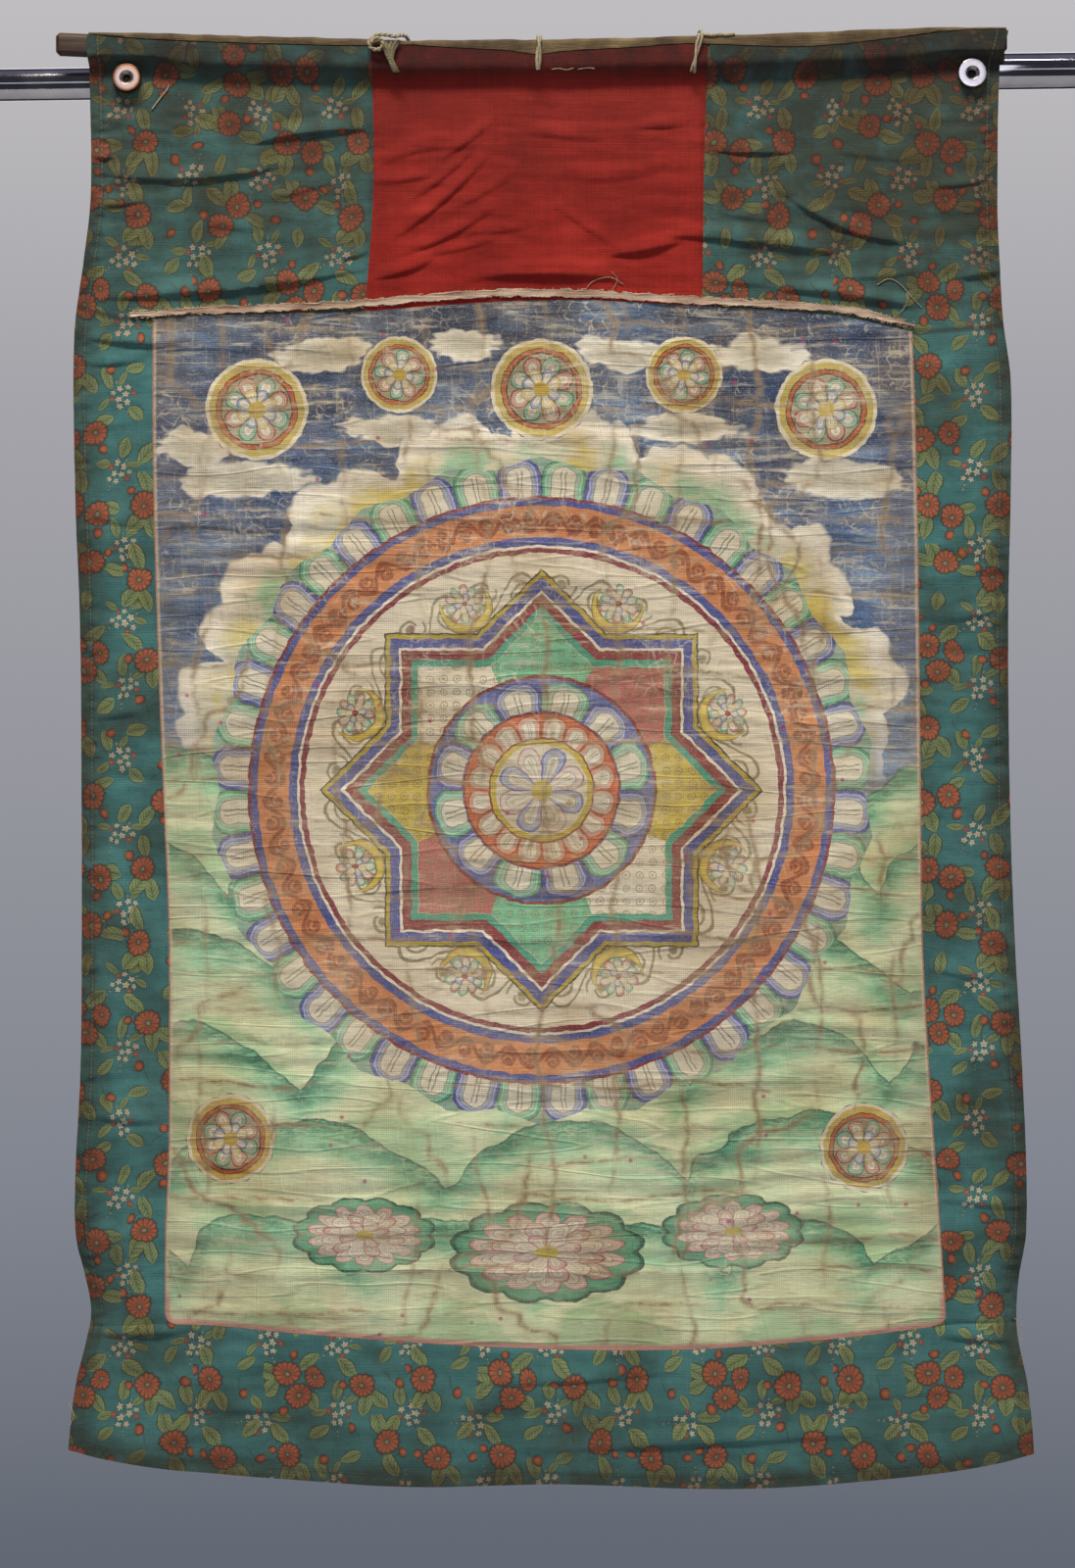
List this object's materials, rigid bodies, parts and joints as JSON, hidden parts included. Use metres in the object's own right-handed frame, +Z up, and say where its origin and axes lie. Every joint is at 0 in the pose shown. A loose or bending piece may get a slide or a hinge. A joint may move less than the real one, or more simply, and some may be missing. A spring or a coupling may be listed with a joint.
{
  "type": "thangka scroll painting with rail",
  "caption": "Canvas scroll painting framed in printed cotton, its heading sewn round a wooden lath and clamped to a chrome rail by round magnets.",
  "frame": {"origin": "centre of the rail's left end face", "axes": "+X along the rail to the right as seen from the front, +Z up, the front of the hanging faces -Y"},
  "size_m": [0.8222, 0.0421, 1.0055],
  "materials": {
    "printed_cotton": "printed plain-weave cotton, soiled at the edges",
    "red_cotton": "plain-weave cotton, faded and creased",
    "tan_cotton": "undyed cotton, soiled",
    "raw_canvas": "raw-edged canvas strip",
    "painted_canvas": "primed canvas with matt paint, creased and worn",
    "pink_cord": "thin cotton cord",
    "white_cotton": "twisted cotton",
    "brown_wood": "planed and oiled",
    "nickel_plate": "polished nickel plate",
    "chrome_plate": "polished chrome plate"
  },
  "bodies": {
    "root": {"header_left": "printed_cotton", "header_centre": "red_cotton", "header_right": "printed_cotton", "top_facing": "tan_cotton", "seam_strip": "raw_canvas", "painting": "painted_canvas", "piping": "pink_cord", "side_border_left": "printed_cotton", "side_border_right": "printed_cotton", "bottom_panel": "printed_cotton", "lath": "brown_wood", "tie_left": "white_cotton", "tie_left_tail": "white_cotton", "tie_middle": "white_cotton", "tie_right": "white_cotton", "magnet_left": "nickel_plate", "magnet_right": "nickel_plate", "rail": "chrome_plate"}
  },
  "joints": []
}
